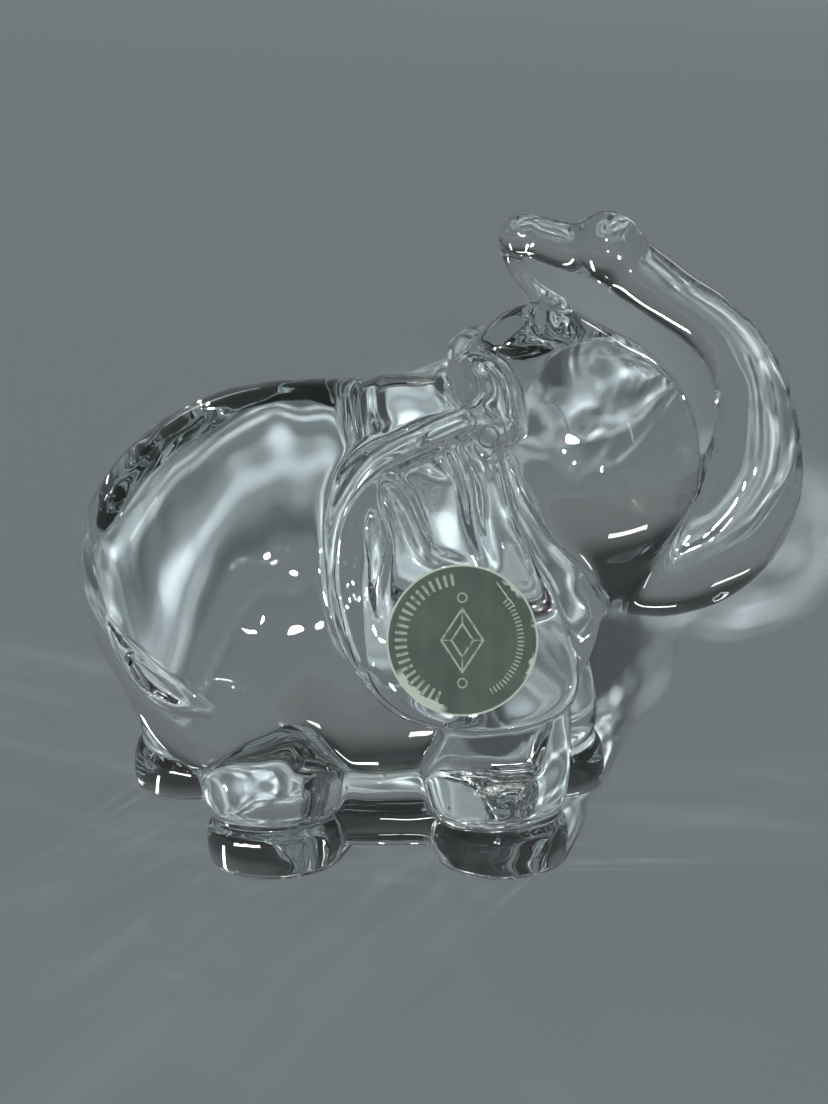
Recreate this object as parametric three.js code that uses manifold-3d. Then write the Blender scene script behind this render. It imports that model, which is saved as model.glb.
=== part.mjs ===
// A solid crystal elephant, walking, with its trunk raised and curled back to touch its crown,
// and a round foil label stuck on its right ear.
//
// Millimetres. +X runs from the tail to the trunk, +Y to the elephant's left side, +Z up.
// The origin is on the surface that the four soles stand on, under the middle of the figure.
// The glass is one casting, so it is one mesh: ellipsoids, lofts and swept tubes joined together,
// then cut flat at the soles. The label is two thin discs on the flat floor of the right ear.

import * as THREE from "three";
import { LoftGeometry } from "three/addons/geometries/LoftGeometry.js";
import { RoundedBoxGeometry } from "three/addons/geometries/RoundedBoxGeometry.js";
import { mergeVertices } from "three/addons/utils/BufferGeometryUtils.js";
import Module from "manifold-3d";

const wasm = await Module();
wasm.setup();

// ---------------------------------------------------------------- driving dimensions

const RUMP_X = -53.8; // rearmost point of the body
const CHEST_X = 25.5; // front of the chest
const BACK_Z = 68.3; // top of the back
const BELLY_Z = 11.7; // lowest point of the belly
const BODY_MIDDLE_X = -20;
const BODY_HALF_WIDTH = 26.5;

const CROWN_Z = 80; // top of the head
const FACE_CENTER = [20.2, 0, 57.2];
const FACE_RADII = [18.6, 19.5, 19.2];

const CORE_BACK_X = -33; // the glass that fills the space between the four legs
const CORE_FRONT_X = 17;
const CORE_BOTTOM_Z = 0.8; // it stops just above the soles
const CORE_TOP_Z = 24;
const CORE_HALF_WIDTH = 16.5;
const CORE_EDGE_RADIUS = 4;

const FOOT_ACROSS = 0.95; // a foot's width over its length
const LEG_SPREAD = 14.8; // each sole's centre from the middle plane

const EAR_TILT = THREE.MathUtils.degToRad(16); // the ear's face leans back by this much

const LABEL_RADIUS = 10.5; // a 21 mm label
const LABEL_CENTER = new THREE.Vector3(3.5, -27, 37.6);
const ADHESIVE_THICKNESS = 0.1;
const LABEL_THICKNESS = 0.15;
const LAYER_GAP = 0.05; // clear space under each label layer

// ---------------------------------------------------------------- solids

// A closed geometry as a manifold-3d solid.
function solid(geometry) {
  const bare = new THREE.BufferGeometry();
  bare.setAttribute("position", geometry.getAttribute("position"));
  bare.setIndex(geometry.index);
  const merged = mergeVertices(bare, 1e-4);
  const mesh = new wasm.Mesh({
    numProp: 3,
    vertProperties: merged.attributes.position.array,
    triVerts: new Uint32Array(merged.index.array),
  });
  return new wasm.Manifold(mesh);
}

// A manifold-3d solid as a three.js geometry.
function geometryOf(made) {
  const mesh = made.getMesh();
  const geometry = new THREE.BufferGeometry();
  geometry.setAttribute("position", new THREE.BufferAttribute(mesh.vertProperties, 3));
  geometry.setIndex(new THREE.BufferAttribute(mesh.triVerts, 1));
  geometry.computeVertexNormals();
  return geometry;
}

function join(pieces) {
  return pieces.reduce((whole, piece) => whole.add(piece));
}

function ellipsoid(center, radii, around = 22, down = 14) {
  const geometry = new THREE.SphereGeometry(1, around, down);
  geometry.rotateX(Math.PI / 2);
  geometry.scale(...radii);
  geometry.translate(...center);
  return solid(geometry);
}

// A tube of changing radius along a smooth curve. Each stop is [x, y, z, radius]. The section is
// an ellipse: `flatness` is its size along Y over its size square to that.
function taperedTube(stops, { steps = 24, sides = 14, flatness = 1 } = {}) {
  const path = new THREE.CatmullRomCurve3(stops.map(([x, y, z]) => new THREE.Vector3(x, y, z)));
  const radii = new THREE.CatmullRomCurve3(stops.map((stop) => new THREE.Vector3(stop[3], 0, 0)));
  const sections = [];
  for (let i = 0; i <= steps; i++) {
    const center = path.getPoint(i / steps);
    const along = path.getTangent(i / steps);
    const across = new THREE.Vector3(0, 1, 0).projectOnPlane(along).normalize();
    const up = new THREE.Vector3().crossVectors(along, across);
    const radius = radii.getPoint(i / steps).x;
    const section = [];
    for (let j = 0; j < sides; j++) {
      const angle = (2 * Math.PI * j) / sides;
      const point = center.clone();
      point.addScaledVector(across, radius * flatness * Math.cos(angle));
      point.addScaledVector(up, radius * Math.sin(angle));
      section.push(point);
    }
    sections.push(section);
  }
  return solid(new LoftGeometry(sections, { capStart: true, capEnd: true }));
}

// The same stops on the other side of the middle plane.
function mirrored(stops) {
  return stops.map(([x, y, ...rest]) => [x, -y, ...rest]);
}

// ---------------------------------------------------------------- body, head and trunk

function body() {
  const bodyRadii = [BODY_MIDDLE_X - RUMP_X, BODY_HALF_WIDTH, (BACK_Z - BELLY_Z) / 2];
  return [
    ellipsoid([BODY_MIDDLE_X, 0, (BACK_Z + BELLY_Z) / 2], bodyRadii, 30, 18),
    ellipsoid([4, 0, 38], [CHEST_X - 4, 23, 27]), // chest and shoulders
    ellipsoid([-2, 0, 51], [22, 20, 18.5]), // withers, between the ears
    ellipsoid([-8, 0, 30], [26, 25, 22.5]), // full lower belly
    ellipsoid([-29, -12, 31], [17, 14.5, 20], 18, 12), // right hip
    ellipsoid([-31, 12, 31], [17, 14.5, 20], 18, 12), // left hip
  ];
}

function head() {
  return [
    ellipsoid(FACE_CENTER, FACE_RADII, 28, 18),
    ellipsoid([15, 0, 62], [13.5, 14, CROWN_Z - 62], 22, 14), // crown
    ellipsoid([24, 0, 46], [12, 13, 11.5], 18, 12), // cheeks and lower jaw
  ];
}

// The trunk leaves the face low down, sweeps forwards and up, and curls back over the crown.
const TRUNK = [
  [27, 0, 43, 9.6],
  [34.5, 0, 42, 9.2],
  [41.2, 0, 45.4, 9.2],
  [45.6, 0, 51.6, 8.2],
  [47, 0, 58.6, 6.8],
  [46.3, 0, 66.3, 5.5],
  [43.4, 0, 72.6, 4.7],
  [39, 0, 77.3, 4.3],
  [33.6, 0, 81, 4.2],
  [28.8, 0, 84.4, 4.4],
  [24.4, 0, 87.2, 4.2],
  [19.4, 0, 87.9, 3.5],
  [14.6, 0, 89.4, 3.1],
  [11.8, 0, 89.8, 2.5],
];

// A thin strand of glass runs from the trunk's tip down to the crown.
const STRAND = [
  [12.4, 0, 90, 1.9],
  [10.6, 0, 88.2, 1.6],
  [11.4, 0, 85.2, 1.2],
  [13.6, 0, 82.2, 1.3],
  [17, 0, 79, 2.2],
];

function trunk() {
  return [
    taperedTube(TRUNK, { steps: 26, sides: 14 }),
    ellipsoid([12, 0, 89.7], [3, 3.3, 3], 14, 10), // rounded tip
    ellipsoid([24.6, 0, 88.4], [4.9, 5.2, 4.9], 16, 12), // lip above the nostrils
    taperedTube(STRAND, { steps: 12, sides: 10 }),
  ];
}

// ---------------------------------------------------------------- ears

// An ear is drawn in a leaning plane: u runs along +X, v up the plane, w out of it. The plane's
// own zero is at the middle of the label.
const EAR_OUTLINE = [
  [4.4, 31.5],
  [-4.7, 29.2],
  [-12, 25],
  [-16, 14],
  [-13.3, 3],
  [-10, -5.5],
  [-3.8, -11.3],
  [5.9, -13.3],
  [15.1, -11.6],
  [19.8, -6.8],
  [17.5, 3.5],
  [11.5, 16],
  [8.5, 26],
];

const EAR_RIM = [
  [6, 31, -0.5, 2.2],
  [-1, 28, 0, 2.2],
  [-8.3, 24, 0, 2.1],
  [-12.6, 17, 0, 2],
  [-13.5, 9.5, 0, 1.8],
  [-12.3, 2.5, -0.4, 1.3],
  [-10.6, -3.5, -0.8, 0.8],
];

// Each ring of the ear's pad, from deep inside the body out to its flat floor: the ring's size
// over the outline's size, and its depth w.
const EAR_RINGS = [
  [0.7, -15],
  [0.88, -8],
  [0.97, -4],
  [1, -2.2],
  [0.98, -0.7],
  [0.93, 0],
];
const EAR_MIDDLE = [2, 6];

// The rolled fold at the ear's root, over the neck.
const EAR_FOLD = [
  [4.5, 7, 71.2, 3.2],
  [6.6, 13, 70, 4],
  [8.6, 17.6, 65.5, 3],
];

// Side -1 is the right ear and side 1 the left ear.
function earPoint(side, u, v, w) {
  const y = LABEL_CENTER.y + v * Math.sin(EAR_TILT) - w * Math.cos(EAR_TILT);
  const z = LABEL_CENTER.z + v * Math.cos(EAR_TILT) + w * Math.sin(EAR_TILT);
  return new THREE.Vector3(u, -side * y, z);
}

function earPad(side) {
  const points = 32;
  const outline = new THREE.CatmullRomCurve3(
    EAR_OUTLINE.map(([u, v]) => new THREE.Vector3(u, v, 0)),
    true,
  );
  const [middleU, middleV] = EAR_MIDDLE;
  const sections = EAR_RINGS.map(([size, w]) => {
    const section = outline.getSpacedPoints(points).slice(0, points);
    const ring = section.map(({ x, y }) =>
      earPoint(side, middleU + (x - middleU) * size, middleV + (y - middleV) * size, w),
    );
    return side < 0 ? ring : ring.reverse();
  });
  return solid(new LoftGeometry(sections, { capStart: true, capEnd: true }));
}

function ear(side) {
  const rim = EAR_RIM.map(([u, v, w, radius]) => [...earPoint(side, u, v, w), radius]);
  const fold = side < 0 ? mirrored(EAR_FOLD) : EAR_FOLD;
  return [
    earPad(side),
    taperedTube(rim, { steps: 14, sides: 9 }),
    taperedTube(fold, { steps: 8, sides: 10 }),
  ];
}

// ---------------------------------------------------------------- legs, feet and tail

// Every leg has the same stops above its foot: height and radius.
const LEG_STOPS = [
  [-1, 9.4],
  [0, 9.7],
  [2.6, 10.1],
  [5.2, 9.9],
  [6.9, 9.2],
  [9, 10.1],
  [14, 11],
  [22, 11.5],
  [31, 11],
];

// A leg whose sole is centred at footX and whose top is at hipX, on one side.
function leg(side, footX, hipX) {
  const top = LEG_STOPS.at(-1)[0];
  const stops = LEG_STOPS.map(([z, radius]) => {
    const lean = Math.max(0, z / top);
    return [footX + (hipX - footX) * lean ** 1.5, side * (LEG_SPREAD - 2 * lean), z, radius];
  });
  return taperedTube(stops, { steps: 16, sides: 18, flatness: FOOT_ACROSS });
}

function core() {
  const length = CORE_FRONT_X - CORE_BACK_X;
  const height = CORE_TOP_Z - CORE_BOTTOM_Z;
  const geometry = new RoundedBoxGeometry(length, 2 * CORE_HALF_WIDTH, height, 3, CORE_EDGE_RADIUS);
  geometry.translate(CORE_BACK_X + length / 2, 0, CORE_BOTTOM_Z + height / 2);
  return solid(geometry);
}

// The right feet are together and the left feet stride apart.
function legs() {
  return [
    leg(-1, 9.4, 7),
    leg(-1, -23.8, -25),
    leg(1, 17, 8),
    leg(1, -38.6, -31),
    core(),
  ];
}

// The tail lies on the right hip as a long raised drop.
const TAIL = [
  [-46.8, -15.8, 36, 0.8],
  [-44.2, -18.8, 33.4, 1.8],
  [-40.6, -22, 30.6, 2.4],
  [-36.4, -24.2, 28.2, 2.1],
  [-32.2, -25.4, 26.6, 0.8],
];

// ---------------------------------------------------------------- the casting

const EYE = [
  [14.6, -17, 68],
  [17.4, -18.4, 66.8],
  [19.2, -19.2, 63.6],
].map((stop) => [...stop, 0.7]);

function casting() {
  const whole = join([...body(), ...head(), ...trunk(), ...ear(-1), ...ear(1), ...legs()]);
  const below = new THREE.BoxGeometry(200, 200, 20).translate(0, 0, -10);
  const grooves = [EYE, mirrored(EYE)].map((stops) => taperedTube(stops, { steps: 6, sides: 8 }));
  return whole
    .add(taperedTube(TAIL, { steps: 12, sides: 10 }))
    .subtract(join([solid(below), ...grooves]));
}

// ---------------------------------------------------------------- the label

// A disc lying on the right ear's floor, its underside `lift` above the glass.
function labelLayer(lift, thickness, material, name) {
  const geometry = new THREE.CylinderGeometry(LABEL_RADIUS, LABEL_RADIUS, thickness, 64);
  const mesh = new THREE.Mesh(geometry, material);
  mesh.name = name;
  mesh.position.copy(earPoint(-1, LABEL_CENTER.x, 0, lift + thickness / 2));
  mesh.rotation.x = -EAR_TILT;
  return mesh;
}

const glass = new THREE.MeshStandardMaterial({
  color: 0xe2ebe8,
  roughness: 0.03,
  metalness: 0,
  transparent: true,
  opacity: 0.35,
});
const adhesive = new THREE.MeshStandardMaterial({ color: 0xd8d8cc, roughness: 0.4, metalness: 0 });
const foil = new THREE.MeshStandardMaterial({ color: 0x556b5f, roughness: 0.45, metalness: 0.3 });

const elephant = new THREE.Group();
const crystal = new THREE.Mesh(geometryOf(casting()), glass);
crystal.name = "crystal_elephant";
elephant.add(crystal);
elephant.add(labelLayer(LAYER_GAP, ADHESIVE_THICKNESS, adhesive, "label_adhesive"));
elephant.add(
  labelLayer(2 * LAYER_GAP + ADHESIVE_THICKNESS, LABEL_THICKNESS, foil, "label_face"),
);

export default elephant;
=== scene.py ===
"""Looks of the crystal elephant: a smooth glass casting and a worn printed foil label.

Every shape is worked out in millimetres in the CAD's own frame and scaled to metres at the end.
+X runs from the tail to the trunk, +Y to the elephant's left side, +Z up.
"""

import itertools
import math

import bpy
import numpy as np
from mathutils import Matrix, Vector

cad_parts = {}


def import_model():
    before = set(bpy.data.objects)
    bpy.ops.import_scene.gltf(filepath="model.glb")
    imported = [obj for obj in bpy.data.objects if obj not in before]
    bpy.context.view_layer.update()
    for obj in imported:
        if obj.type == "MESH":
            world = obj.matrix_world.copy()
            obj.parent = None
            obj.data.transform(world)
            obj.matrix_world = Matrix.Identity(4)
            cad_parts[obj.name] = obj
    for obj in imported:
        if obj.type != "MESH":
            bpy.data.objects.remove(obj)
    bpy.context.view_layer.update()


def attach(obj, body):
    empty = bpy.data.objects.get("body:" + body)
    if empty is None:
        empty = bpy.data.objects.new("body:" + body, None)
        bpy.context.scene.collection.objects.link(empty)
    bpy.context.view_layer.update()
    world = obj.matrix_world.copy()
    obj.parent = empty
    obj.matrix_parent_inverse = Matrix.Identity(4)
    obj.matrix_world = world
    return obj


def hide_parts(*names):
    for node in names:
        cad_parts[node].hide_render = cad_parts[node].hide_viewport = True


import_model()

MM = 0.001
FINE_STEP = 0.6
STEP = FINE_STEP  # spacing of the field's grid, in mm


# ---------------------------------------------------------------- smooth fields
# A field is a function of x, y and z that gives the distance to a shape's surface in mm,
# negative inside. Each comes with the box that holds the shape.


def smooth_min(a, b, k):
    """The lower of two fields, with the crease between them rounded over a width of k."""
    h = np.maximum(k - np.abs(a - b), 0) / k
    return np.minimum(a, b) - h * h * h * k / 6


def smooth_max(a, b, k):
    return -smooth_min(-a, -b, k)


def ellipsoid(center, radii):
    center, radii = np.array(center, float), np.array(radii, float)

    def field(x, y, z):
        q = [(v - c) / r for v, c, r in zip((x, y, z), center, radii)]
        k0 = np.sqrt(q[0] ** 2 + q[1] ** 2 + q[2] ** 2) + 1e-9
        k1 = np.sqrt(sum((v / r) ** 2 for v, r in zip(q, radii))) + 1e-9
        return k0 * (k0 - 1) / k1

    return field, (center - radii, center + radii)


def spline(stops, closed=False):
    """A function of t, from 0 to the number of spans, through rows of numbers: Catmull-Rom."""
    stops = np.array(stops, float)
    if closed:
        padded = np.vstack([stops[-1], stops, stops[0], stops[1]])
        spans = len(stops)
    else:
        padded = np.vstack([2 * stops[0] - stops[1], stops, 2 * stops[-1] - stops[-2]])
        spans = len(stops) - 1

    def at(t):
        t = np.clip(t, 0, spans - 1e-9)
        i = t.astype(int)
        f = (t - i)[:, None]
        p0, p1, p2, p3 = (padded[i + n] for n in range(4))
        straight = 2 * p1 + (p2 - p0) * f
        bend = (2 * p0 - 5 * p1 + 4 * p2 - p3) * f**2 + (3 * p1 - p0 - 3 * p2 + p3) * f**3
        return 0.5 * (straight + bend)

    return at, spans


def tube(stops, flatness=1.0, samples_per_span=8):
    """A tube of changing radius along a smooth curve, with rounded ends. Each stop is
    [x, y, z, radius]. flatness is the section's size along Y over its size square to that."""
    wide = np.array([1, flatness, 1])
    at, spans = spline(np.array(stops, float) / np.append(wide, 1))
    t_line = np.linspace(0, spans, spans * samples_per_span + 1)
    line = at(t_line)
    squares = (line[:, :3] ** 2).sum(1)
    nudge = 1e-3
    chunk = 40000  # points taken together, to keep the table of distances small

    def field(x, y, z):
        x, y, z = np.broadcast_arrays(x, y / flatness, z)
        points = np.stack([x.ravel(), y.ravel(), z.ravel()], axis=1).astype(float)
        nearest = np.empty(len(points), int)
        for start in range(0, len(points), chunk):
            part = points[start : start + chunk]
            nearest[start : start + chunk] = (squares - 2 * part @ line[:, :3].T).argmin(1)
        t = t_line[nearest]
        for _ in range(3):
            here = at(t)[:, :3]
            along = (at(t + nudge)[:, :3] - at(t - nudge)[:, :3]) / (2 * nudge)
            step = ((points - here) * along).sum(1) / ((along**2).sum(1) + 1e-9)
            t = np.clip(t + np.clip(step, -0.2, 0.2), 0, spans)
        here = at(t)
        distance = np.linalg.norm(points - here[:, :3], axis=1) - here[:, 3]
        return distance.reshape(x.shape)

    reach = line[:, 3:] * wide
    return field, ((line[:, :3] * wide - reach).min(0), (line[:, :3] * wide + reach).max(0))


def rounded_box(low, high, radius):
    low, high = np.array(low, float), np.array(high, float)
    center, half = (low + high) / 2, (high - low) / 2 - radius

    def field(x, y, z):
        q = [np.abs(v - c) - h for v, c, h in zip((x, y, z), center, half)]
        outside = np.sqrt(sum(np.maximum(v, 0) ** 2 for v in q))
        return outside + np.minimum(np.maximum(np.maximum(q[0], q[1]), q[2]), 0) - radius

    return field, (low, high)


def mirrored(stops):
    """The same stops on the other side of the middle plane."""
    return [[x, -y, *rest] for x, y, *rest in stops]


# ---------------------------------------------------------------- body, head and trunk

BODY = [  # centre, radii, width of the blend into what is there already
    ([-20, 0, 40], [33.6, 26.3, 28.2], 1),
    ([-29, -12, 31], [16.5, 14, 19.6], 7),
    ([-31, 12, 31], [16.5, 14, 19.6], 7),
    ([-8, 0, 30], [25.6, 24.6, 22.2], 6),
    ([4, 0, 38], [21, 22.5, 26.6], 6),
    ([-2, 0, 51], [21.5, 19.5, 18], 8),
    ([20.2, 0, 57.2], [18.5, 19.3, 19.1], 6),
    ([15, 0, 62], [13.3, 13.8, 17.9], 5),
    ([24, 0, 46], [11.8, 12.8, 11.3], 4),
]

TRUNK = [
    [27, 0, 43, 9.6],
    [34.5, 0, 42, 9.2],
    [41.2, 0, 45.4, 9.2],
    [45.6, 0, 51.6, 8.2],
    [47, 0, 58.6, 6.8],
    [46.3, 0, 66.3, 5.5],
    [43.4, 0, 72.6, 4.7],
    [39, 0, 77.3, 4.3],
    [33.6, 0, 81, 4.2],
    [28.8, 0, 84.4, 4.4],
    [24.4, 0, 87.2, 4.2],
    [19.4, 0, 87.9, 3.5],
    [14.6, 0, 89.4, 3.1],
    [11.8, 0, 89.8, 2.5],
]

STRAND = [
    [12.4, 0, 90, 1.9],
    [10.6, 0, 88.2, 1.6],
    [11.4, 0, 85.2, 1.2],
    [13.6, 0, 82.2, 1.3],
    [17, 0, 79, 2.2],
]

TAIL = [
    [-46.8, -15.8, 36, 0.8],
    [-44.2, -18.8, 33.4, 1.8],
    [-40.6, -22, 30.6, 2.4],
    [-36.4, -24.2, 28.2, 2.1],
    [-32.2, -25.4, 26.6, 0.8],
]

TAIL_HOLLOW = [
    [-43, -21.5, 32.6, 0.5],
    [-40.2, -24.2, 30.6, 1.2],
    [-36.2, -26.4, 28.6, 0.9],
    [-34.4, -27, 27.8, 0.4],
]

TRUNK_KNUCKLE = ([24.6, 0, 88.4], [4.9, 5.2, 4.9])  # centre, radii
TRUNK_TIP = ([12, 0, 89.7], [3, 3.3, 3])

TRUNK_CREASE = [
    [14, -3.6, 90.6, 0.5],
    [19, -4.1, 89.4, 0.7],
    [25, -6.1, 88, 0.8],
    [30.5, -4.9, 85, 0.8],
    [36, -4.7, 80.8, 0.7],
    [41.6, -5, 76, 0.6],
    [45, -5.5, 70.4, 0.4],
]

LEG_STOPS = [  # height, radius
    [-1, 9.4],
    [0, 9.7],
    [2.6, 10.1],
    [5.2, 9.9],
    [6.9, 9.1],
    [9, 10.1],
    [14, 11],
    [22, 11.5],
    [31, 11],
]
LEG_SPREAD = 14.8
LEG_LEAN = 2  # how far in towards the middle plane a leg's top comes, in mm
FOOT_ACROSS = 0.95
FEET = [  # side, x of the foot, x of the hip
    (-1, 9.4, 7),
    (-1, -23.8, -25),
    (1, 17, 8),
    (1, -38.6, -31),
]
LEG_WEB = ([-33, -16.5, 0.8], [17, 16.5, 24], 4)  # lowest and highest corner, radius of its edges


def leg(side, foot_x, hip_x):
    """One leg with its foot's pad and ankle crease, leaning from the foot to the hip."""
    top = LEG_STOPS[-1][0]
    stops = []
    for z, radius in LEG_STOPS:
        lean = max(0, z / top)
        x = foot_x + (hip_x - foot_x) * lean**1.5
        stops.append([x, side * (LEG_SPREAD - LEG_LEAN * lean), z, radius])
    return tube(stops, flatness=FOOT_ACROSS)


# ---------------------------------------------------------------- ears
# An ear is drawn in a leaning plane: u runs along +X, v up the plane, w out of it. The plane's
# own zero is at the middle of the label.

LABEL_CENTER = np.array([3.5, -27, 37.6])
EAR_TILT = math.radians(16)
EAR_MIDDLE = (2.0, 6.0)
EAR_OUTLINE = [  # u, v
    [4.4, 31.5],
    [-4.7, 29.2],
    [-12, 25],
    [-16, 14],
    [-13.3, 3],
    [-10, -5.5],
    [-3.8, -11.3],
    [5.9, -13.3],
    [15.1, -11.6],
    [19.8, -6.8],
    [17.5, 3.5],
    [11.5, 16],
    [8.5, 26],
]
EAR_RIM = [  # u, v, w, radius
    [6, 31, -0.5, 2.2],
    [-1, 28, 0, 2.2],
    [-8.3, 24, 0, 2.1],
    [-12.6, 17, 0, 2],
    [-13.5, 9.5, 0, 1.8],
    [-12.3, 2.5, -0.4, 1.3],
    [-10.6, -3.5, -0.8, 0.8],
]
EAR_FOLD = [  # x, y, z, radius: the fold that ties an ear's top to the head
    [4.5, 7, 71.2, 3.2],
    [6.6, 13, 70, 4],
    [8.6, 17.6, 65.5, 3],
]
EAR_FOLDS = [  # u, v, w, radius: the folds that run down an ear
    [
        [-8.5, 22.5, -0.2, 1.1],
        [-5, 20, -0.1, 1.3],
        [-2.6, 15, -0.2, 1.2],
        [-0.6, 11.8, -0.4, 1],
        [3, 10.6, -0.8, 0.7],
    ],
    [
        [2.2, 27, 0, 1.1],
        [4.4, 21.5, 0, 1.2],
        [5.4, 16, -0.1, 1],
        [7.2, 10.6, -0.6, 0.7],
    ],
    [
        [-9.8, 20, -0.6, 0.8],
        [-7.6, 13, -0.4, 0.9],
        [-8.2, 6, -0.5, 0.7],
        [-7, 1, -0.8, 0.4],
    ],
]
EAR_DEPTH = 15  # how far the ear's block goes into the body
EAR_EDGE = 3.2  # how widely the ear's face rounds over into its edge
OUTLINE_HARMONICS = 9


def ear_point(u, v, w, side=-1):
    """Where a point of the ear's plane is in the frame. Side is 1 on the left and -1 on the right."""
    y = LABEL_CENTER[1] + v * math.sin(EAR_TILT) - w * math.cos(EAR_TILT)
    z = LABEL_CENTER[2] + v * math.cos(EAR_TILT) + w * math.sin(EAR_TILT)
    return [u, -side * y, z]


def outline_waves(outline, middle, count):
    """The outline's distance from its middle as a sum of waves round it: cosines and sines."""
    at, spans = spline(outline, closed=True)
    points = at(np.linspace(0, spans, 2000, endpoint=False)) - middle
    angle = np.arctan2(points[:, 1], points[:, 0])
    order = angle.argsort()
    even = np.linspace(-math.pi, math.pi, 720, endpoint=False)
    radius = np.interp(even, angle[order], np.hypot(*points[order].T), period=2 * math.pi)
    waves = [np.array([radius.mean(), 0.0])]
    for n in range(1, count + 1):
        cosine, sine = (radius * np.cos(n * even)).mean(), (radius * np.sin(n * even)).mean()
        waves.append(2 * np.array([cosine, sine]))
    return waves


def ear_pad(side):
    """The ear's flat leaf, which reaches into the body behind it and narrows a little as it goes."""
    waves = outline_waves(EAR_OUTLINE, EAR_MIDDLE, OUTLINE_HARMONICS)

    def field(x, y, z):
        across, up = -side * y - LABEL_CENTER[1], z - LABEL_CENTER[2]
        v = across * math.sin(EAR_TILT) + up * math.cos(EAR_TILT)
        w = -across * math.cos(EAR_TILT) + up * math.sin(EAR_TILT)
        du, dv = x - EAR_MIDDLE[0], v - EAR_MIDDLE[1]
        angle, distance = np.arctan2(dv, du), np.hypot(du, dv) + 1e-6
        radius, slope = waves[0][0], 0.0
        for n, (c, s) in enumerate(waves[1:], start=1):
            radius = radius + c * np.cos(n * angle) + s * np.sin(n * angle)
            slope = slope + n * (s * np.cos(n * angle) - c * np.sin(n * angle))
        edge = (distance - radius) / np.sqrt(1 + (slope / radius) ** 2)
        edge = edge + 0.03 * np.maximum(-w - 2, 0) ** 1.4
        return np.maximum(smooth_max(edge, w, EAR_EDGE), -w - EAR_DEPTH)

    spans = ((-17, 21), (-14, 33), (-EAR_DEPTH, 1))
    corners = [ear_point(*corner, side) for corner in itertools.product(*spans)]
    return field, (np.min(corners, axis=0), np.max(corners, axis=0))


def ear_tube(stops, side):
    return tube([[*ear_point(u, v, w, side), radius] for u, v, w, radius in stops])


# ---------------------------------------------------------------- the whole casting

CASTING_BOX = ([-54, -31, 0], [54.5, 31, 93.5])
BELOW_FLOOR = ([-90, -90, -50], [90, 90, 0])
FAR = 50.0  # the field's value where no step of the casting reaches, in mm
STEP_REACH = 3  # how far round its box a step's field is worked out, beyond its blend


def casting():
    """Every step of the casting: "add" or "cut", the field and its box, the blend's width."""
    steps = [("add", *ellipsoid(center, radii), k) for center, radii, k in BODY]
    for side, foot_x, hip_x in FEET:
        steps.append(("add", *leg(side, foot_x, hip_x), 3))
    steps.append(("add", *rounded_box(*LEG_WEB), 1.2))
    steps.append(("add", *tube(TRUNK), 2.5))
    steps.append(("add", *ellipsoid(*TRUNK_KNUCKLE), 2.5))
    steps.append(("add", *ellipsoid(*TRUNK_TIP), 1.5))
    steps.append(("add", *tube(STRAND), 1.2))
    for side in (-1, 1):
        steps.append(("add", *ear_pad(side), 2))
        steps.append(("add", *ear_tube(EAR_RIM, side), 1.6))
        steps.append(("add", *tube(EAR_FOLD if side > 0 else mirrored(EAR_FOLD)), 3))
        for fold in EAR_FOLDS:
            steps.append(("add", *ear_tube(fold, side), 1.5))
        crease = TRUNK_CREASE if side < 0 else mirrored(TRUNK_CREASE)
        steps.append(("cut", *tube(crease), 1))
    steps.append(("add", *tube(TAIL), 1))
    steps.append(("cut", *tube(TAIL_HOLLOW), 0.8))
    steps.append(("cut", lambda x, y, z: z + 0 * x * y, BELOW_FLOOR, 0.6))
    return steps


CASTING = casting()


RIPPLE = 0.02  # how far the pressed surface waves in and out, in mm
SOLE_FADE = 3  # height over which the ripples grow from nothing, in mm
RIPPLE_WAYS = [  # radians per mm along each axis, and a start
    ([0.52, 0.18, 0.40], 0.4),
    ([-0.33, 0.61, 0.22], 1.9),
    ([0.15, -0.42, 0.70], 3.1),
    ([0.88, 0.36, -0.29], 5.2),
]


def ripple(x, y, z):
    """The slight waves that a mould leaves in glass."""
    waves = (np.sin(a * x + b * y + c * z + start) for (a, b, c), start in RIPPLE_WAYS)
    return RIPPLE * sum(waves)


def rippled(value, x, y, z):
    """The field with its ripples, which fade out at the ground soles."""
    return value + ripple(x, y, z) * np.clip(z / SOLE_FADE, 0, 1)


def blended(kind, value, step_value, k):
    """The field after one step, with the crease between the two blended over a width of k."""
    if kind == "add":
        return smooth_min(value, step_value, k)
    return smooth_max(value, -step_value, k)


def casting_at(points):
    """The casting's field at points, in mm."""
    value = np.full(len(points), FAR)
    for kind, field, (low, high), k in CASTING:
        margin = k + STEP_REACH
        near = ((points > np.array(low) - margin) & (points < np.array(high) + margin)).all(1)
        x, y, z = points[near].T
        value[near] = blended(kind, value[near], field(x, y, z), k)
    return rippled(value, *points.T)


def casting_on_grid(step):
    """The casting's field on an even grid round it, with the grid's lowest corner."""
    margin = 4 * step
    low = np.array(CASTING_BOX[0]) - margin
    high = np.array(CASTING_BOX[1]) + margin
    axes = [np.arange(a, b, step) for a, b in zip(low, high)]
    value = np.full([len(a) for a in axes], FAR)
    for kind, field, (box_low, box_high), k in CASTING:
        spans = []
        for axis, a, b in zip(axes, box_low, box_high):
            first, last = np.searchsorted(axis, [a - k - STEP_REACH, b + k + STEP_REACH])
            spans.append(slice(first, last))
        x, y, z = np.ix_(*(axis[span] for axis, span in zip(axes, spans)))
        block = tuple(spans)
        value[block] = blended(kind, value[block], field(x, y, z), k)
    return rippled(value, *np.ix_(*axes)), low


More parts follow.
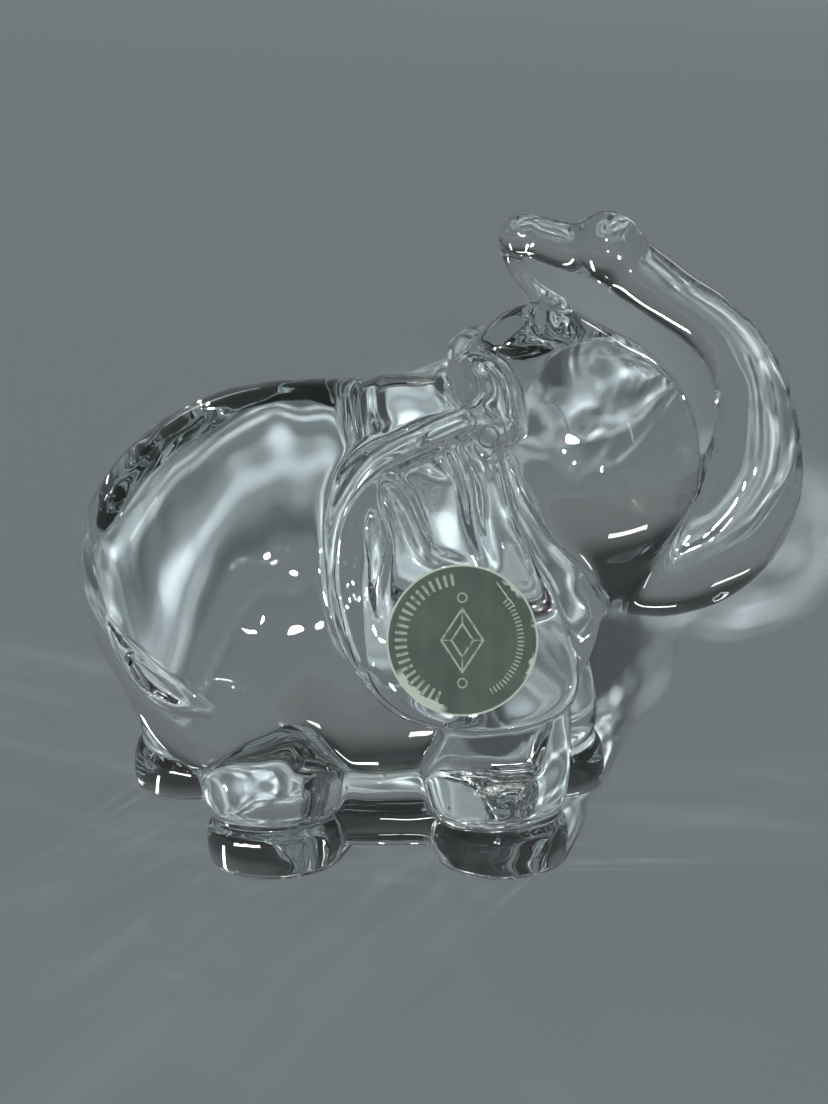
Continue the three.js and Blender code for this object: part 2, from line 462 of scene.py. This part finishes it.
def surface_nets(value, low, step):
    """The surface where a gridded field is zero, with one vertex in each cell that it crosses.

    A four-sided face joins the four cells round every edge of the grid that it crosses."""
    inside = value < 0
    cells = tuple(n - 1 for n in value.shape)
    corners = list(itertools.product((0, 1), repeat=3))
    held = sum(
        inside[i : i + cells[0], j : j + cells[1], k : k + cells[2]].astype(np.int8)
        for i, j, k in corners
    )
    cell = np.argwhere((held > 0) & (held < 8))
    at_corner = {c: value[tuple((cell + c).T)] for c in corners}
    total, count = np.zeros((len(cell), 3)), np.zeros(len(cell))
    for axis in range(3):
        for start in (c for c in corners if c[axis] == 0):
            end = tuple(c + (n == axis) for n, c in enumerate(start))
            a, b = at_corner[start], at_corner[end]
            crossed = (a < 0) != (b < 0)
            share = a[crossed] / (a[crossed] - b[crossed])
            total[crossed] += np.array(start) + share[:, None] * (np.array(end) - start)
            count[crossed] += 1
    points = low + (cell + total / count[:, None]) * step
    number = np.full(cells, -1)
    number[tuple(cell.T)] = np.arange(len(cell))
    faces = []
    for axis in range(3):
        first = [slice(0, n) for n in value.shape]
        second = list(first)
        first[axis], second[axis] = slice(0, -1), slice(1, None)
        edge = np.argwhere(inside[tuple(first)] != inside[tuple(second)])
        outward = inside[tuple(first)][tuple(edge.T)]
        one, two = np.eye(3, dtype=int)[(axis + 1) % 3], np.eye(3, dtype=int)[(axis + 2) % 3]
        around = [number[tuple((edge - shift).T)] for shift in (0 * one, one, one + two, two)]
        quads = np.stack(around, axis=1)
        quads[~outward] = quads[~outward][:, ::-1]
        faces.append(quads)
    return points, np.vstack(faces)


def settled(points, faces, rounds=3):
    """The vertices spread evenly over the surface, and moved exactly onto it."""
    edges = np.vstack([faces[:, [n, (n + 1) % 4]] for n in range(4)])
    degree = np.bincount(edges.ravel(), minlength=len(points))[:, None]
    nudge = 0.05
    for _ in range(rounds):
        middle = np.zeros_like(points)
        np.add.at(middle, edges[:, 0], points[edges[:, 1]])
        np.add.at(middle, edges[:, 1], points[edges[:, 0]])
        points = 0.5 * points + 0.5 * middle / degree
        rises = []
        for way in nudge * np.eye(3):
            rises.append(casting_at(points + way) - casting_at(points - way))
        slope = np.stack(rises, axis=1) / (2 * nudge)
        steepness = np.maximum((slope**2).sum(1), 0.1)
        move = np.clip(casting_at(points) / steepness, -STEP, STEP)
        points = points - move[:, None] * slope
    return points


def mesh_object(name, points, faces, smooth=True):
    mesh = bpy.data.meshes.new(name)
    mesh.from_pydata((np.asarray(points) * MM).tolist(), [], [list(f) for f in faces])
    mesh.validate()
    mesh.update()
    mesh.polygons.foreach_set("use_smooth", [smooth] * len(mesh.polygons))
    made = bpy.data.objects.new(name, mesh)
    bpy.context.scene.collection.objects.link(made)
    return made


# ---------------------------------------------------------------- materials


def new_material(name):
    """A material with its nodes, its Principled shader and its output."""
    material = bpy.data.materials.new(name)
    material.use_nodes = True
    nodes = material.node_tree.nodes
    return material, nodes["Principled BSDF"], nodes["Material Output"]


class Arithmetic:
    """Shader sums inside one material or world. Each call adds a node and gives its output, and
    takes numbers or other outputs."""

    def __init__(self, owner):
        self.tree = owner.node_tree

    def node(self, kind, inputs, **settings):
        made = self.tree.nodes.new(kind)
        for name, value in settings.items():
            setattr(made, name, value)
        for socket, value in inputs.items():
            if isinstance(value, bpy.types.NodeSocket):
                self.tree.links.new(value, made.inputs[socket])
            else:
                made.inputs[socket].default_value = value
        return made

    def math(self, operation, *values):
        return self.node("ShaderNodeMath", dict(enumerate(values)), operation=operation).outputs[0]

    def below(self, value, edge, softness=0.04):
        """1 where value is less than edge, 0 where it is more."""
        span = {"Value": value, "From Min": edge - softness, "From Max": edge + softness}
        span.update({"To Min": 1.0, "To Max": 0.0})
        return self.node("ShaderNodeMapRange", span).outputs[0]

    def both(self, a, b):
        return self.math("MULTIPLY", a, b)

    def either(self, a, b):
        return self.math("MAXIMUM", a, b)

    def near(self, value, middle, half_width):
        """1 where value is within half_width of middle."""
        return self.below(self.math("ABSOLUTE", self.math("SUBTRACT", value, middle)), half_width)

    def ramp(self, value, stops):
        """A colour that changes with value. Each stop is a value and the colour there."""
        made = self.node("ShaderNodeValToRGB", {0: value})
        elements = made.color_ramp.elements
        while len(elements) < len(stops):
            elements.new(1.0)
        for element, (place, color) in zip(elements, stops):
            element.position = place
            element.color = (*color, 1)
        return made.outputs[0]

    def place_in_mm(self):
        """The place on the object, in its own axes and in millimetres."""
        place = self.node("ShaderNodeTexCoord", {}).outputs["Object"]
        scaled = {0: place, "Scale": 1 / MM}
        return self.node("ShaderNodeVectorMath", scaled, operation="SCALE").outputs[0]

    def noise(self, vector, scale, detail=3.0):
        inputs = {"Vector": vector, "Scale": scale, "Detail": detail}
        return self.node("ShaderNodeTexNoise", inputs).outputs["Fac"]

    def blend(self, share, one, other):
        inputs = {"Factor": share, 6: one, 7: other}
        return self.node("ShaderNodeMix", inputs, data_type="RGBA").outputs[2]


GLASS_IOR = 1.54
GLASS_TINT = (0.88, 0.95, 0.93, 1)
GLASS_DENSITY = 5.0  # how strongly the tint takes up light, per metre
CAUSTIC_NOISE_SCALE = 0.055  # slow noise bumps, seen only by lamp rays, that shape the painted caustic lines: how many to a mm, and their height
CAUSTIC_NOISE_HEIGHT = 0.006
PAINTED_CAUSTIC_GAIN = 6.3  # how much brighter than the lamp itself a line of the painted caustic pattern is
PAINTED_CAUSTIC_SHARES = [  # painted caustic pattern: how steeply the skin turns from a lamp, and the share of its light that passes
    (0.00, 0.10),
    (0.06, 0.18),
    (0.09, 1.00),
    (0.11, 0.26),
    (0.20, 0.10),
    (0.25, 0.24),
    (0.28, 1.00),
    (0.30, 0.16),
    (0.42, 0.09),
    (0.50, 0.60),
    (0.54, 0.06),
    (0.70, 0.25),
    (0.76, 0.02),
]


def crystal_material():
    """Clear glass with a faint green depth. Lamp rays pass it through a painted caustic pattern of
    bright lines, set by how the skin turns and a slow noise, and not traced through the glass.
    """
    material, shader, output = new_material("crystal_glass")
    shader.inputs["Base Color"].default_value = (1, 1, 1, 1)
    shader.inputs["Roughness"].default_value = 0.0
    shader.inputs["IOR"].default_value = GLASS_IOR
    shader.inputs["Transmission Weight"].default_value = 1.0
    sums = Arithmetic(material)
    inside = sums.node("ShaderNodeVolumeAbsorption", {"Color": GLASS_TINT, "Density": GLASS_DENSITY})
    # The noise bumps below bend only the normal of the painted caustic pattern, not the glass's
    # surface.
    caustic_noise = sums.noise(sums.place_in_mm(), CAUSTIC_NOISE_SCALE, 0.0)
    bend = {"Height": caustic_noise, "Strength": 1.0, "Distance": CAUSTIC_NOISE_HEIGHT}
    bent = sums.node("ShaderNodeBump", bend).outputs[0]
    turned = sums.node("ShaderNodeLayerWeight", {"Blend": 0.5, "Normal": bent}).outputs["Facing"]
    shares = sums.ramp(turned, [(turn, (share, share, share)) for turn, share in PAINTED_CAUSTIC_SHARES])
    passed = sums.math("MULTIPLY", shares, PAINTED_CAUSTIC_GAIN)
    # Painted caustic light: lamp rays go straight through, scaled by the made pattern, instead of
    # being refracted.
    painted_caustic_pass = sums.node("ShaderNodeBsdfTransparent", {"Color": passed})
    lamp_ray = sums.node("ShaderNodeLightPath", {}).outputs["Is Shadow Ray"]
    glass = sums.node("ShaderNodeMixShader", {0: lamp_ray, 1: shader.outputs[0], 2: painted_caustic_pass.outputs[0]})
    links = material.node_tree.links
    links.new(glass.outputs[0], output.inputs["Surface"])
    links.new(inside.outputs[0], output.inputs["Volume"])
    return material


def plain_material(name, color, roughness):
    material, shader, _ = new_material(name)
    shader.inputs["Base Color"].default_value = (*color, 1)
    shader.inputs["Roughness"].default_value = roughness
    return material


PRINT_GREEN = (0.045, 0.080, 0.061, 1)
PRINT_FADED = (0.074, 0.118, 0.091, 1)
PRINT_SILVER = (0.34, 0.41, 0.34, 1)
BARE_PAPER = (0.50, 0.56, 0.47, 1)
RIM_BARS = [  # first and last angle, how many, radius, half length, and their share of the run
    (96, 250, 23, 8.5, 0.85, 0.42),
    (-62, 44, 27, 8.1, 0.45, 0.4),
]
STONE_OUTLINES = [(2.9, 4.4), (1.5, 2.3)]  # half width and half height of each diamond
LINE_HALF_WIDTH = 0.09
RING_HEIGHTS = (-5.9, 5.9)
RING_RADIUS = 0.62
PRINT_RADIUS = 10.22  # the print ends here, and bare paper shows outside it
WORN_PLACES = [  # angle, half width of the worn place in degrees, radius that it reaches in to
    (231, 24, 9.25),
    (46, 8, 9.75),
    (-21, 9, 9.85),
    (12, 4, 10.0),
]


def label_print():
    """A green print with a silver border of bars and a cut stone's outline, worn at its rim."""
    material, shader, _ = new_material("label_print")
    sums = Arithmetic(material)
    mm = sums.place_in_mm()
    split = sums.node("ShaderNodeSeparateXYZ", {0: mm})
    u, v = split.outputs["X"], split.outputs["Y"]
    u_squared, v_squared = sums.math("MULTIPLY", u, u), sums.math("MULTIPLY", v, v)
    radius = sums.math("SQRT", sums.math("ADD", u_squared, v_squared))
    angle = sums.math("ARCTAN2", v, u)

    def bars(first, last, count, ring, half_height, share):
        """A run of short bars round the rim, between two angles in degrees."""
        middle, half = math.radians(first + last) / 2, math.radians(last - first) / 2
        turned = sums.math("SUBTRACT", angle, middle)
        wrapped = sums.math("WRAP", turned, math.pi, -math.pi)
        inside = sums.below(sums.math("ABSOLUTE", wrapped), half, 0.01)
        phase = sums.math("FRACT", sums.math("MULTIPLY_ADD", wrapped, count / (2 * half), 0.5))
        bar = sums.near(phase, 0.5, share / 2)
        return sums.both(sums.both(inside, bar), sums.near(radius, ring, half_height))

    ink = sums.either(*(bars(*run) for run in RIM_BARS))
    u_size, v_size = sums.math("ABSOLUTE", u), sums.math("ABSOLUTE", v)
    for half_width, half_height in STONE_OUTLINES:
        leaning = sums.math("MULTIPLY_ADD", u_size, half_height / half_width, v_size)
        ink = sums.either(ink, sums.near(leaning, half_height, 0.26))
    girdle = sums.both(sums.near(v, 0.0, LINE_HALF_WIDTH), sums.near(u_size, 2.15, 0.6))
    spine = sums.both(sums.near(u, 0.0, LINE_HALF_WIDTH), sums.near(v_size, 3.3, 0.9))
    ink = sums.either(ink, sums.either(girdle, spine))
    for height in RING_HEIGHTS:
        away = sums.math("POWER", sums.math("SUBTRACT", v, height), 2.0)
        from_middle = sums.math("SQRT", sums.math("ADD", u_squared, away))
        ink = sums.either(ink, sums.near(from_middle, RING_RADIUS, 0.1))

    grain = sums.noise(mm, 1.4, 5.0)
    patches = sums.noise(mm, 0.22, 4.0)
    tall = {"Vector": mm, "Scale": (0.9, 0.07, 1.0)}
    streaks = sums.noise(sums.node("ShaderNodeMapping", tall).outputs[0], 0.5)
    faded = sums.math("MULTIPLY_ADD", streaks, 0.8, sums.math("MULTIPLY", patches, 1.1))
    span = {"Value": faded, "From Min": 0.72, "From Max": 1.22}
    faded = sums.node("ShaderNodeMapRange", span).outputs[0]
    color = sums.blend(faded, PRINT_GREEN, PRINT_FADED)
    worn_ink = sums.both(ink, sums.below(grain, 0.62, 0.1))
    color = sums.blend(worn_ink, color, PRINT_SILVER)

    rough_radius = sums.math("MULTIPLY_ADD", sums.math("SUBTRACT", grain, 0.5), 1.6, radius)
    bare = sums.math("SUBTRACT", 1.0, sums.below(radius, PRINT_RADIUS, 0.05))
    for place_angle, half_angle, inner in WORN_PLACES:
        off = sums.math("SUBTRACT", angle, math.radians(place_angle))
        off = sums.math("ABSOLUTE", sums.math("WRAP", off, math.pi, -math.pi))
        patch = sums.both(
            sums.below(off, math.radians(half_angle), 0.06),
            sums.math("SUBTRACT", 1.0, sums.below(rough_radius, inner, 0.1)),
        )
        bare = sums.either(bare, patch)
    wander = sums.math("MULTIPLY_ADD", sums.noise(mm, 1.1), 1.3, -0.65)
    slant = sums.math("MULTIPLY_ADD", u, 1.32, -14.2)
    scratch_line = sums.math("ADD", slant, sums.math("ADD", v, wander))
    scratch = sums.both(sums.near(scratch_line, 0.0, 0.13), sums.near(u, 6.0, 1.25))
    bare = sums.either(bare, sums.both(scratch, sums.near(v, 6.3, 2)))
    color = sums.blend(bare, color, BARE_PAPER)

    links = material.node_tree.links
    links.new(color, shader.inputs["Base Color"])
    shader.inputs["Roughness"].default_value = 0.5
    shader.inputs["Specular IOR Level"].default_value = 0.2
    return material


# ---------------------------------------------------------------- the pieces


BUBBLES = [  # places in the glass, and radii
    ([-7.7, -14.6, 13], 0.34),
    ([-2, -14.8, 7.4], 0.36),
    ([1.6, -17.6, 7.8], 0.32),
    ([2.6, -18.6, 9.6], 0.26),
    ([-18, -21.2, 13.3], 0.32),
    ([-15.4, -19.5, 9.1], 0.28),
    ([9, -19, 4], 0.3),
]
BUBBLE_COVER = 0.3  # least depth of glass over a bubble, in mm
BUBBLE_DRIFTS = [  # lines that small bubbles keep to: both ends, how many
    ([13, -3, 77.5], [29, -6, 71.5], 12),
    ([-44, -9, 58], [-26, -12, 64], 9),
    ([-49, -8, 50], [-44, -12, 56.5], 7),
    ([33, -4, 66], [36.4, -6, 60], 6),
]


def bubbles():
    """Places and radii of the air bubbles, the scattered small ones included."""
    chance = np.random.default_rng(5)
    found = list(BUBBLES)
    for start, end, count in BUBBLE_DRIFTS:
        for share in chance.random(count):
            place = np.array(start) * (1 - share) + np.array(end) * share
            found.append((place + chance.normal(0, 0.9, 3), chance.uniform(0.12, 0.26)))
    depth = casting_at(np.array([center for center, _ in found]))
    return [one for one, deep in zip(found, depth) if deep < -one[1] - BUBBLE_COVER]


def ball(center, radius):
    """A small ball whose faces look inwards, as the wall of a bubble does."""
    across, around = 6, 10
    points = [(0, 0, 1), (0, 0, -1)]
    for i in range(1, across):
        fall = math.pi * i / across
        wide, high = math.sin(fall), math.cos(fall)
        for j in range(around):
            turn = 2 * math.pi * j / around
            points.append((wide * math.cos(turn), wide * math.sin(turn), high))
    faces = []
    for j in range(around):
        k = (j + 1) % around
        last = 2 + (across - 2) * around
        faces.append([0, 2 + k, 2 + j])
        faces.append([1, last + j, last + k])
        for i in range(across - 2):
            a, b = 2 + i * around, 2 + (i + 1) * around
            faces.append([a + j, a + k, b + k, b + j])
    return np.array(center) + radius * np.array(points), faces


EYE = [[14.8, 68.4], [16, 68.3], [17.1, 67.5], [17.9, 66.3], [18.4, 64.8]]  # x, z along the arc
EYE_DEPTH = 0.3  # how deep under the skin the arc runs
EYE_WIDTH = 0.22  # radius of the arc's thread at its middle
SKIN_REACH = 40.0  # further out than any of the casting


def skin_y(x, z, side):
    """How far out the casting's surface is at each x and z, by halving the step to it."""
    inner, outer = np.zeros_like(x), np.full_like(x, SKIN_REACH)
    for _ in range(16):
        y = (inner + outer) / 2
        held = casting_at(np.stack([x, side * y, z], axis=1)) < 0
        inner, outer = np.where(held, y, inner), np.where(held, outer, y)
    return side * inner


def eye(side):
    """The engraved arc of an eye: a fine thread under the skin, with faces that look inwards."""
    at, spans = spline(EYE)
    around, along = 8, 24
    share = np.linspace(0, 1, along + 1)
    x, z = at(share * spans).T
    line = np.stack([x, skin_y(x, z, side) - side * EYE_DEPTH, z], axis=1)
    points, faces = [], []
    for n, center in enumerate(line):
        ahead = Vector(line[min(n + 1, along)]) - Vector(line[max(n - 1, 0)])
        across = ahead.cross(Vector((0, 1, 0))).normalized()
        width = EYE_WIDTH * math.sin(math.pi * (0.08 + 0.84 * share[n]))
        for j in range(around):
            turn = 2 * math.pi * j / around
            reach = across * math.cos(turn) + Vector((0, 1, 0)) * math.sin(turn)
            points.append(Vector(center) + width * reach)
    for n in range(along):
        for j in range(around):
            a, b = n * around + j, n * around + (j + 1) % around
            faces.append([a, b, b + around, a + around])
    faces.append(list(range(around))[::-1])
    faces.append(list(range(along * around, (along + 1) * around)))
    return np.array(points), faces


def crystal_elephant():
    """The glass, with the bubbles and the eyes' arcs as hollows in it."""
    value, low = casting_on_grid(STEP)
    points, faces = surface_nets(value, low, STEP)
    points = settled(points, faces)
    faces = faces.tolist()
    hollows = [eye(-1), eye(1)]
    for center, radius in bubbles():
        hollows.append(ball(center, radius))
    for hollow_points, hollow_faces in hollows:
        faces += [[i + len(points) for i in face] for face in hollow_faces]
        points = np.vstack([points, hollow_points])
    made = mesh_object("crystal_elephant_glass", points, faces)
    made.data.materials.append(crystal_material())
    return made


LABEL_RADIUS = 10.5
LABEL_POINTS = 180
LABEL_MARGIN = 0.05  # how far the adhesive shows round the print
ADHESIVE_HEIGHTS = (-0.02, 0.1)  # the least and most w of each layer
FACE_HEIGHTS = (0.12, 0.27)


def disc(name, low, high, radius_at):
    """A thin disc on the ear's plane, from the height low to high, with a free outline."""
    angles = np.linspace(0, 2 * math.pi, LABEL_POINTS, endpoint=False)
    ring = [(r * math.cos(a), r * math.sin(a)) for a, r in zip(angles, radius_at(angles))]
    points = [(u, v, w) for w in (low, high) for u, v in ring]
    n = LABEL_POINTS
    faces = [list(range(n))[::-1], list(range(n, 2 * n))]
    faces += [[i, (i + 1) % n, n + (i + 1) % n, n + i] for i in range(n)]
    made = mesh_object(name, points, faces, smooth=False)
    place_on_ear(made)
    return made


def place_on_ear(made):
    """Local x, y and z become the ear plane's u, v and w about the label's centre."""
    origin = Vector(ear_point(LABEL_CENTER[0], 0, 0)) * MM
    up = Vector((0, math.sin(EAR_TILT), math.cos(EAR_TILT)))
    out = Vector((0, -math.cos(EAR_TILT), math.sin(EAR_TILT)))
    along = Vector((1, 0, 0))
    rows = [[along[n], up[n], out[n], origin[n]] for n in range(3)]
    made.matrix_world = Matrix([*rows, [0, 0, 0, 1]])


def label_adhesive():
    made = disc("label_adhesive_film", *ADHESIVE_HEIGHTS, lambda a: np.full(a.shape, LABEL_RADIUS))
    made.data.materials.append(plain_material("label_adhesive", (0.5, 0.53, 0.5), 0.45))
    return made


def label_face():
    """The printed face, whose cut edge is slightly ragged."""

    def radius(a):
        ragged = 0.06 * np.sin(23 * a) * np.sin(7 * a + 1) + 0.04 * np.sin(61 * a)
        return LABEL_RADIUS - LABEL_MARGIN + ragged

    made = disc("label_printed_face", *FACE_HEIGHTS, radius)
    made.data.materials.append(label_print())
    return made


glass = crystal_elephant()
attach(glass, "root")
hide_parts("crystal_elephant")

adhesive = label_adhesive()
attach(adhesive, "root")
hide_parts("label_adhesive")

face = label_face()
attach(face, "root")
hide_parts("label_face")


# ---------------------------------------------------------------- floor, lights and camera


MIDDLE_HEIGHT = 0.045  # where the lights and the camera aim, above the floor
FLOOR_REACH = 6000  # mm each way
FLOOR_DROP = 0.2  # mm under the soles, so that the two never lie in one plane
FLOOR_COLOR = (0.56, 0.645, 0.68)
FLOOR_GLOW = (0.92, 1, 1.03, 1)
FLOOR_GLOW_STRENGTH = 0.02


def floor():
    corners = [(-1, -1), (1, -1), (1, 1), (-1, 1)]
    points = [(x * FLOOR_REACH, y * FLOOR_REACH, -FLOOR_DROP) for x, y in corners]
    made = mesh_object("floor", points, [[0, 1, 2, 3]], smooth=False)
    pale = plain_material("pale_floor", FLOOR_COLOR, 1.0)
    shader = pale.node_tree.nodes["Principled BSDF"]
    shader.inputs["Specular IOR Level"].default_value = 0
    shader.inputs["Emission Color"].default_value = FLOOR_GLOW
    shader.inputs["Emission Strength"].default_value = FLOOR_GLOW_STRENGTH
    made.data.materials.append(pale)


def placed_light(light, place, aim):
    """Puts a light in the scene at a place, turned to its aim."""
    made = bpy.data.objects.new(light.name, light)
    made.location = place
    made.rotation_euler = (Vector(aim) - Vector(place)).to_track_quat("-Z", "Y").to_euler()
    bpy.context.scene.collection.objects.link(made)


def distant_light(name, place, aim, strength, spread):
    """A lamp with parallel light. Its spread is in degrees."""
    light = bpy.data.lights.new(name, "SUN")
    light.energy = strength
    light.angle = math.radians(spread)
    placed_light(light, place, aim)


def area_light(name, place, aim, size, power):
    """A soft rectangular light, with its place, aim and size in metres."""
    light = bpy.data.lights.new(name, "AREA")
    light.shape = "RECTANGLE"
    light.size, light.size_y = size
    light.energy = power
    placed_light(light, place, aim)


def studio_lights():
    """Two lamps in front, and strips of soft light well away behind and at the sides."""
    middle = (0, 0, MIDDLE_HEIGHT)
    distant_light("key_light", (-0.12, -0.50, 0.230), middle, 1.45, 2.8)
    distant_light("low_light", (-0.03, -0.50, 0.135), middle, 0.8, 2.4)
    area_light("back_low_strip", (-1.2, 3.8, 1.15), middle, (1.2, 0.16), 0.7)
    area_light("back_high_strip", (0.4, 3.4, 2.1), middle, (1.0, 0.14), 0.8)
    area_light("back_strip", (1.8, 3.6, 1.5), middle, (0.2, 1.2), 4)
    area_light("left_strip", (-3.6, -0.2, 1.6), middle, (0.2, 1.45), 3)
    area_light("right_strip", (3.2, -2, 1.9), middle, (0.16, 1.2), 3)


SKY_LEVELS = [(0.0, 0.175), (0.24, 0.150), (0.42, 0.035), (1.0, 0.025)]  # sine of height, grey
SKY_TINT = (0.93, 1.0, 1.03)
SKY_AWAY = 0.45  # how bright the rest of the sky is, as a share of the part behind the figurine
SKY_EDGE = (0.3, 0.8)  # where that part begins and is full, as a share of the way to straight back


def world():
    """A grey room, lighter towards the horizon and on the side behind the figurine."""
    made = bpy.data.worlds.new("grey_studio")
    made.use_nodes = True
    sums = Arithmetic(made)
    direction = sums.node("ShaderNodeTexCoord", {}).outputs["Generated"]
    split = sums.node("ShaderNodeSeparateXYZ", {0: direction})
    levels = [(height, [level * tint for tint in SKY_TINT]) for height, level in SKY_LEVELS]
    color = sums.ramp(split.outputs["Z"], levels)
    start, full = SKY_EDGE
    facing = {"Value": split.outputs["Y"], "From Min": start, "From Max": full, "To Min": SKY_AWAY}
    behind = sums.node("ShaderNodeMapRange", facing).outputs[0]
    background = made.node_tree.nodes["Background"]
    made.node_tree.links.new(color, background.inputs["Color"])
    made.node_tree.links.new(behind, background.inputs["Strength"])
    bpy.context.scene.world = made


VIEW_DISTANCE = 0.330
VIEW_RISE = math.radians(16)
VIEW_LENS = 72.2  # mm, over a sensor 36 mm tall
VIEW_SHIFT = (-0.0208, -0.0154)  # puts the figurine a little right of the middle and above it


def camera():
    data = bpy.data.cameras.new("photo_view")
    data.sensor_fit = "VERTICAL"
    data.sensor_height = 36
    data.lens = VIEW_LENS
    data.shift_x, data.shift_y = VIEW_SHIFT
    data.clip_start = 0.01
    made = bpy.data.objects.new("photo_view", data)
    back, rise = math.cos(VIEW_RISE), math.sin(VIEW_RISE)
    made.location = (0, -VIEW_DISTANCE * back, MIDDLE_HEIGHT + VIEW_DISTANCE * rise)
    made.rotation_euler = (math.pi / 2 - VIEW_RISE, 0, 0)
    bpy.context.scene.collection.objects.link(made)
    bpy.context.scene.camera = made


floor()
studio_lights()
world()
camera()

bpy.context.scene.view_settings.view_transform = "Standard"
cycles = bpy.context.scene.cycles
cycles.max_bounces = 32
cycles.blur_glossy = 0.0
cycles.sample_clamp_indirect = 0.0
cycles.caustics_refractive = False
cycles.caustics_reflective = False
cycles.transmission_bounces = 32
cycles.glossy_bounces = 16
